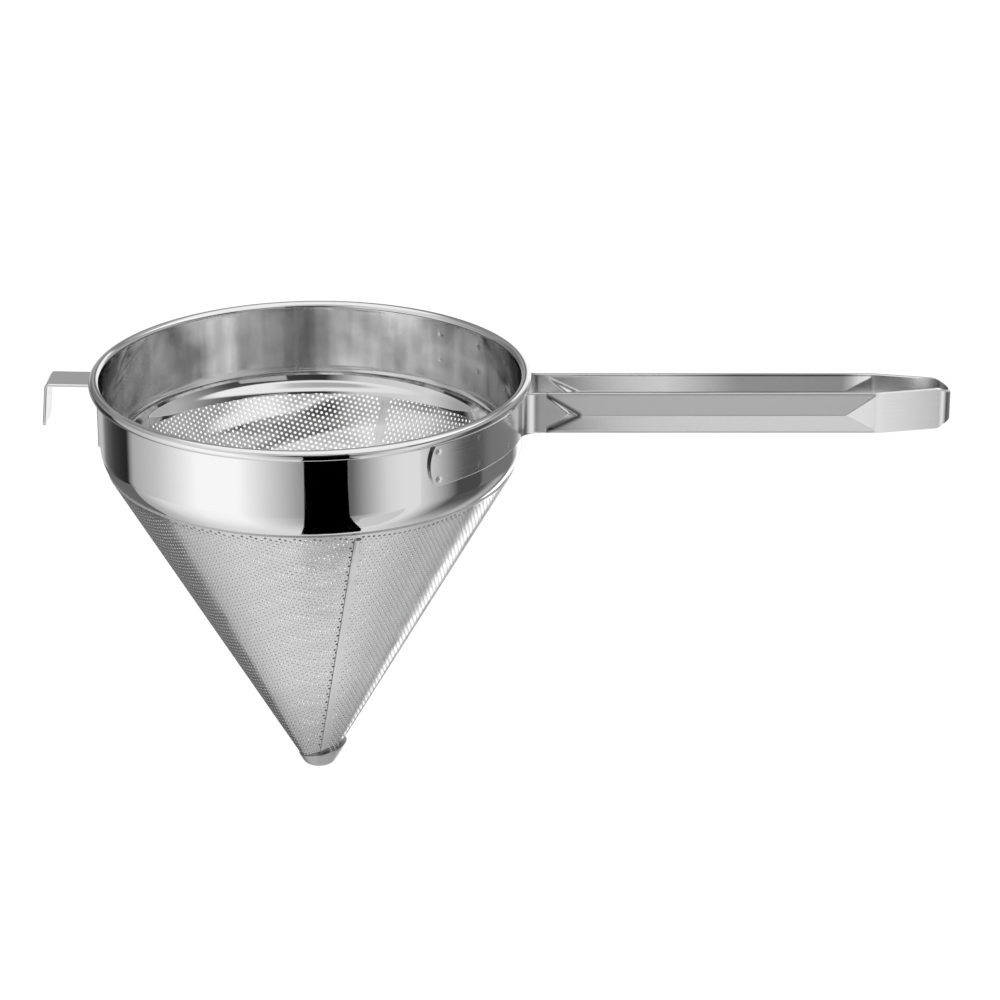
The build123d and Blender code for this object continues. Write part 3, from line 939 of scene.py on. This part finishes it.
def strap_section(travel, side):
    """One section of the strap: its outer face down, round the edge, and its inner face up.
    Each point comes with its place on the flat strip."""
    section = []
    length_share = max(0.0, 1 - travel / wing_bow_length)
    for face in (0, 1):
        depth = strap_sheet * face
        for row in range(face_rows + 1):
            share = abs(face - row / face_rows)
            off_middle = (0.5 - share) * strap_width
            bow = (wing_bow_radius - sqrt(wing_bow_radius ** 2 - off_middle ** 2)) * length_share
            x, y, nx, ny = strap_line(travel + bow)
            px, py = x - nx * depth, y - ny * depth
            drop = max(px - (grip_end - nose_chamfer_length), 0) / nose_chamfer_length * nose_chamfer_drop
            top = strap_top - drop
            bottom = strap_bottom + drop
            z = top + (bottom - top) * share
            rounding = round_off(strip_edge_round, min(z - bottom, top - z))
            out = rounding if face else -rounding
            if ribs_from < travel < ribs_to:
                out += soft_rib(x, z)
            if face == 0 and travel < wing_length:
                azimuth = wing_end_azimuth - degrees((travel + bow) / strap_outer)
                for weld_azimuth, weld_row in rear_welds:
                    out -= dish(radians(azimuth - weld_azimuth) * strap_outer, z - weld_row)
            section.append(((px + nx * out, (py + ny * out) * side, z), (travel + bow, z)))
    return section


travels = []
start = 0.0
for length, step in zip(plan_lengths, plan_steps):
    count = max(round(length / step), 2)
    travels += [start + length * index / count for index in range(count)]
    start += length
travels.append(start)
sections = [strap_section(travel, 1) for travel in travels]
sections += [strap_section(travel, -1) for travel in reversed(travels[:-1])]
section_size = len(sections[0])
strap_points, strap_uvs = zip(*(corner for section in sections for corner in section))
strap_faces = strip_faces(len(sections), section_size)
strap = make_piece("looped_strap_handle", strap_points, strap_faces, satin_steel, strap_uvs)
strap.data.materials.append(inner_satin)
for face in strap.data.polygons:
    if min(corner % section_size for corner in face.vertices) > face_rows:
        face.material_index = 1
fit_piece(strap, "satin_strap", "handle_strap")


# Pot hook

# A tab on the band, a bend, a level plate, a second bend and a leg
lean = radians(hook_leg_lean)
hook_top = -bead_radius
leg_outer = wall_outer + hook_reach
over_bend = hook_bend_radius + hook_sheet
leg_turn = 90 - hook_leg_lean
leg_tangent = over_bend * tan(radians(leg_turn) / 2)
leg_length = hook_leg_depth / cos(lean) - leg_tangent
plate_start = wall_outer + over_bend
plate_end = leg_outer - leg_tangent
tab_step, tab_end_gap = 0.6, 0.3
tab_steps = int((hook_tab_depth + hook_top - over_bend - tab_end_gap) / tab_step)
plate_steps = 12
leg_steps = 24
hook_rows = 40
plate_ease_start, plate_ease_end = wall_outer + 3, leg_outer - 4

hook_line = [(wall_outer, -hook_tab_depth + tab_step * step) for step in range(tab_steps + 1)]
hook_line += arc((plate_start, hook_top - over_bend), over_bend, 180, -90, 8)
hook_line += [
    (plate_start + (plate_end - plate_start) * step / plate_steps, hook_top)
    for step in range(1, plate_steps)
]
hook_line += arc((plate_end, hook_top - over_bend), over_bend, 90, -leg_turn, 10)
leg_start = hook_line[-1]
for step in range(1, leg_steps + 1):
    travel = leg_length * step / leg_steps
    hook_line.append((leg_start[0] + travel * sin(lean), leg_start[1] - travel * cos(lean)))
hook_travel = [0.0]
for before, after in zip(hook_line, hook_line[1:]):
    hook_travel.append(hook_travel[-1] + hypot(after[0] - before[0], after[1] - before[1]))

hook_points = []
hook_uvs = []
for index, (line_r, line_z) in enumerate(hook_line):
    before = hook_line[max(index - 1, 0)]
    after = hook_line[min(index + 1, len(hook_line) - 1)]
    along_r, along_z = after[0] - before[0], after[1] - before[1]
    size = hypot(along_r, along_z)
    out_r, out_z = -along_z / size, along_r / size
    end_gap = min(hook_travel[index], hook_travel[-1] - hook_travel[index])
    reach = hook_width / 2 - round_off(hook_corner_radius, end_gap)
    flatten = smooth(plate_ease_start, plate_ease_end, line_r)
    for face in (0, 1):
        for row in range(hook_rows + 1):
            across = reach * (1 - 2 * abs(face - row / hook_rows))
            rounding = round_off(strip_edge_round, reach - abs(across))
            depth = hook_sheet * face + (-rounding if face else rounding)
            curve = (sqrt(wall_outer ** 2 - across ** 2) - wall_outer) * (1 - flatten)
            if face and line_z < hook_top - over_bend:
                for weld_row in hook_weld_rows:
                    depth -= dish(across, line_z - weld_row)
            r = line_r - out_r * depth + curve
            hook_points.append(round_axis(r, radians(hook_azimuth), across, line_z - out_z * depth))
            hook_uvs.append((hook_travel[index], across))
hook_faces = strip_faces(len(hook_line), 2 * (hook_rows + 1))
hook = make_piece("pot_rest_hook", hook_points, hook_faces, satin_steel, hook_uvs)
fit_piece(hook, "satin_strap", "pot_hook")


# Spot welds


def nugget_piece(name, node, places, outer_face):
    """Round weld nuggets through the sheets, a low dome in each dish."""
    sides = 28
    dome = []
    for share in (0.0, 0.35, 0.65, 0.85, 1.0):
        dome.append((weld_diameter / 2 * share, outer_face - dish_depth + weld_dome * (1 - share ** 2)))
    back = [(r, wall_inner + outer_face - out) for r, out in reversed(dome)]
    profile = dome[1:] + back[:-1]
    points = []
    faces = []
    for azimuth, z in places:
        turn = radians(azimuth)
        faces += spun_faces(sides, len(profile), len(points))
        for side in range(sides):
            spin = 2 * pi * side / sides
            points += [round_axis(out, turn, r * cos(spin), z + r * sin(spin)) for r, out in profile]
        points += [round_axis(out, turn, 0, z) for out in (dome[0][1], back[-1][1])]
    fit_piece(make_piece(name, points, faces, weld_steel), "weld", node)


nugget_piece("handle_nuggets_front", "handle_welds_front", front_welds, strap_outer)
nugget_piece("handle_nuggets_rear", "handle_welds_rear", rear_welds, strap_outer)
nugget_piece("hook_nuggets", "hook_welds", hook_welds, wall_outer + hook_sheet)


# Studio


def studio_sheet(name, finish, shader_kind, sockets, corners, faces, unseen_by):
    """A flat sheet of the studio, unseen by these rays, which isn't part of the strainer."""
    material, add = new_material(finish)
    add("OutputMaterial", {"Surface": add(shader_kind, sockets)})
    sheet = new_object(name, corners, faces, material)
    for ray in unseen_by:
        setattr(sheet, "visible_" + ray, False)


# A plain pale floor well below the tip; the strainer is held by its band
floor_half, floor_z = 20000.0, -750.0
floor_corners = [(x * floor_half, y * floor_half, floor_z) for x, y in ((-1, -1), (1, -1), (1, 1), (-1, 1))]
studio_sheet(
    "studio_floor", "pale_matt_floor", "BsdfDiffuse", {"Color": hex_colour("F6F6F6")},
    floor_corners, [(0, 1, 2, 3)], ("glossy",),
)

# Cards round the strainer, which only its mirrors show: a black flag close in front of the
# band with a toe under it, a dark card on the left, and white and grey ones for the handle
flag_outline = (
    (-1, 15), (-1, -60), (-5, -167), (-18, -377), (-33, -640), (200, -640), (171, -514), (118, -300),
    (84, -166), (67, -90), (63, -60), (63, 15),
)
toe_outline = ((-33, -200), (-38, -184), (50, -181), (115, -165), (180, -140), (200, -200))
flag_y, toe_z = -200.0, -640.0
handle_cards_y, end_card_y = -300, -270

# The dark card's azimuth, top and bottom in degrees, seen from the origin
dark_card_distance = 1500
dark_card_edges = (
    (94, -23, -40), (108, -24, -50), (121, -25, -54), (140, -27, -56), (150, -26, -42), (159, -24, -29),
)
dark_card = []
for azimuth, top, bottom in dark_card_edges:
    for rise in (radians(top), radians(bottom)):
        reach = dark_card_distance * cos(rise)
        dark_card.append(round_axis(reach, radians(azimuth), 0, dark_card_distance * sin(rise)))
dark_faces = [(i, i + 1, i + 3, i + 2) for i in range(0, len(dark_card) - 2, 2)]


def upright_card(left, right, y, top, bottom):
    """The corners of a card that faces along Y."""
    return [(left, y, top), (right, y, top), (right, y, bottom), (left, y, bottom)]


cards_unseen_by = ("camera", "diffuse", "shadow")
for name, glow, corners, faces in (
    ("black_flag_front", 0.0, [(x, flag_y, z) for x, z in flag_outline], [tuple(range(len(flag_outline)))]),
    ("black_flag_toe", 0.0, [(x, y, toe_z) for x, y in toe_outline], [tuple(range(len(toe_outline)))]),
    ("dark_card_left", 0.17, dark_card, dark_faces),
    ("white_card_low", 0.8, upright_card(150, 360, handle_cards_y, -200, -700), [(0, 1, 2, 3)]),
    ("grey_card_high", 0.52, upright_card(100, 330, handle_cards_y, 160, 0), [(0, 1, 2, 3)]),
    ("white_card_end", 1.0, upright_card(310, 430, end_card_y, -40, -230), [(0, 1, 2, 3)]),
):
    studio_sheet(name, name + "_cloth", "Emission", {"Strength": glow}, corners, faces, cards_unseen_by)


# The room round the strainer, as polished steel mirrors it: bands of wall one above the other,
# each with its light level at some azimuths. Each band takes over between two heights, in
# degrees, and a plain floor lies below them
floor_level = 0.95
brightest = 1.9
backdrop_level = 1.15
low_levels = (
    (-180, 0.95), (-152, 1.25), (-128, 1.3), (-112, 0.95), (-92, 0.5), (-66, 0.4), (-46, 0.9),
    (-28, 1.0), (-8, 0.3), (-2, 0.12), (26, 0.12), (42, 0.55), (50, 0.45), (54, 0.25), (59, 0.3),
    (62, 1.9), (72, 1.9), (76, 0.35), (96, 0.4), (120, 0.5), (150, 0.47), (165, 0.65), (180, 0.95),
)
wall_levels = (
    (-180, 0.75), (-152, 1.3), (-128, 1.32), (-112, 0.9), (-92, 0.4), (-66, 0.17), (-56, 0.55),
    (-46, 0.9), (-32, 1.05), (-21, 0.75), (-13, 0.52), (-7, 0.3), (-1, 0.09), (17, 0.09), (20, 0.22),
    (55, 0.22), (62, 0.6), (66, 1.2), (80, 1.2), (85, 0.45), (114, 0.6), (123, 0.21), (129, 0.13),
    (137, 0.065), (147, 0.035), (154, 0.025), (157, 0.35), (160, 0.55), (180, 0.75),
)
upper_levels = (
    (-180, 0.5), (-160, 0.9), (-115, 0.8), (-96, 0.04), (-40, 0.08), (0, 0.6), (55, 0.45), (64, 1.2),
    (78, 1.2), (86, 0.15), (91, 0.2), (95, 0.42), (104, 0.42), (112, 0.25), (120, 0.2), (180, 0.5),
)
ring_levels = (
    (-180, 0.6), (-150, 1.0), (-115, 1.1), (-90, 1.1), (-30, 1.2), (-18, 0.9), (-8, 0.3), (60, 0.3),
    (110, 0.35), (150, 0.45), (180, 0.6),
)
high_levels = (
    (-180, 0.7), (-165, 0.9), (-150, 1.0), (-135, 1.0), (-115, 0.55), (-90, 0.55), (-76, 0.65),
    (-62, 1.15), (-22, 1.15), (-14, 1.4), (34, 1.4), (44, 0.6), (58, 0.5), (80, 0.55), (108, 0.3),
    (128, 0.3), (150, 0.5), (180, 0.7),
)
ceiling_levels = ((-180, 1.2), (180, 1.2))
room_bands = (
    (-80, -34, low_levels), (-29, -25, wall_levels), (3, 8, upper_levels), (28, 31, ring_levels),
    (34, 37, high_levels), (48, 58, ceiling_levels),
)


def grey(level):
    """A light level as a share of the brightest."""
    return (level / brightest,) * 3 + (1.0,)


world = bpy.data.worlds.new("studio_room")
world.use_nodes = True
bpy.context.scene.world = world
world.node_tree.nodes.clear()
add = partial(add_node, world.node_tree)
unit = add("VectorMath", add("TexCoord").outputs["Generated"], operation="NORMALIZE")
heading = add("SeparateXYZ", unit).outputs
room_azimuth = add("Math", heading["Y"], heading["X"], operation="ARCTAN2")
room_height = add("Math", heading["Z"], operation="ARCSINE")
round_share = add("MapRange", room_azimuth, -pi, pi)
light = grey(floor_level)
for band_start, band_full, levels in room_bands:
    ramp = add("ValToRGB", round_share)
    set_stops(ramp, [((azimuth + 180) / 360, grey(level)) for azimuth, level in levels])
    reach = (radians(band_start), radians(band_full))
    rise = add("MapRange", room_height, *reach, interpolation_type="SMOOTHSTEP")
    light = add("Mix", {0: rise, 6: light, 7: ramp}, data_type="RGBA").outputs[2]
light = add("RGBToBW", light)
light = add("Math", light, brightest, operation="MULTIPLY")
mirrored = add("LightPath").outputs["Is Glossy Ray"]
strength = add("Mix", {0: mirrored, 2: backdrop_level, 3: light}, data_type="FLOAT")
backdrop = add("Background", {"Color": (1.0, 1.0, 1.0, 1.0), "Strength": strength})
add("OutputWorld", {"Surface": backdrop})
bpy.context.scene.view_settings.view_transform = "Standard"


# Camera

camera_data = bpy.data.cameras.new("studio_camera")
camera_data.sensor_width = 36.0
camera_data.lens = 136.98
camera = bpy.data.objects.new("studio_camera", camera_data)
camera.location = Vector((87.14, -1639.7, 607.6)) * MM
aim = Vector((87.14, 0.0, -60.88)) * MM
camera.rotation_euler = (aim - camera.location).to_track_quat("-Z", "Y").to_euler()
bpy.context.scene.collection.objects.link(camera)
bpy.context.scene.camera = camera
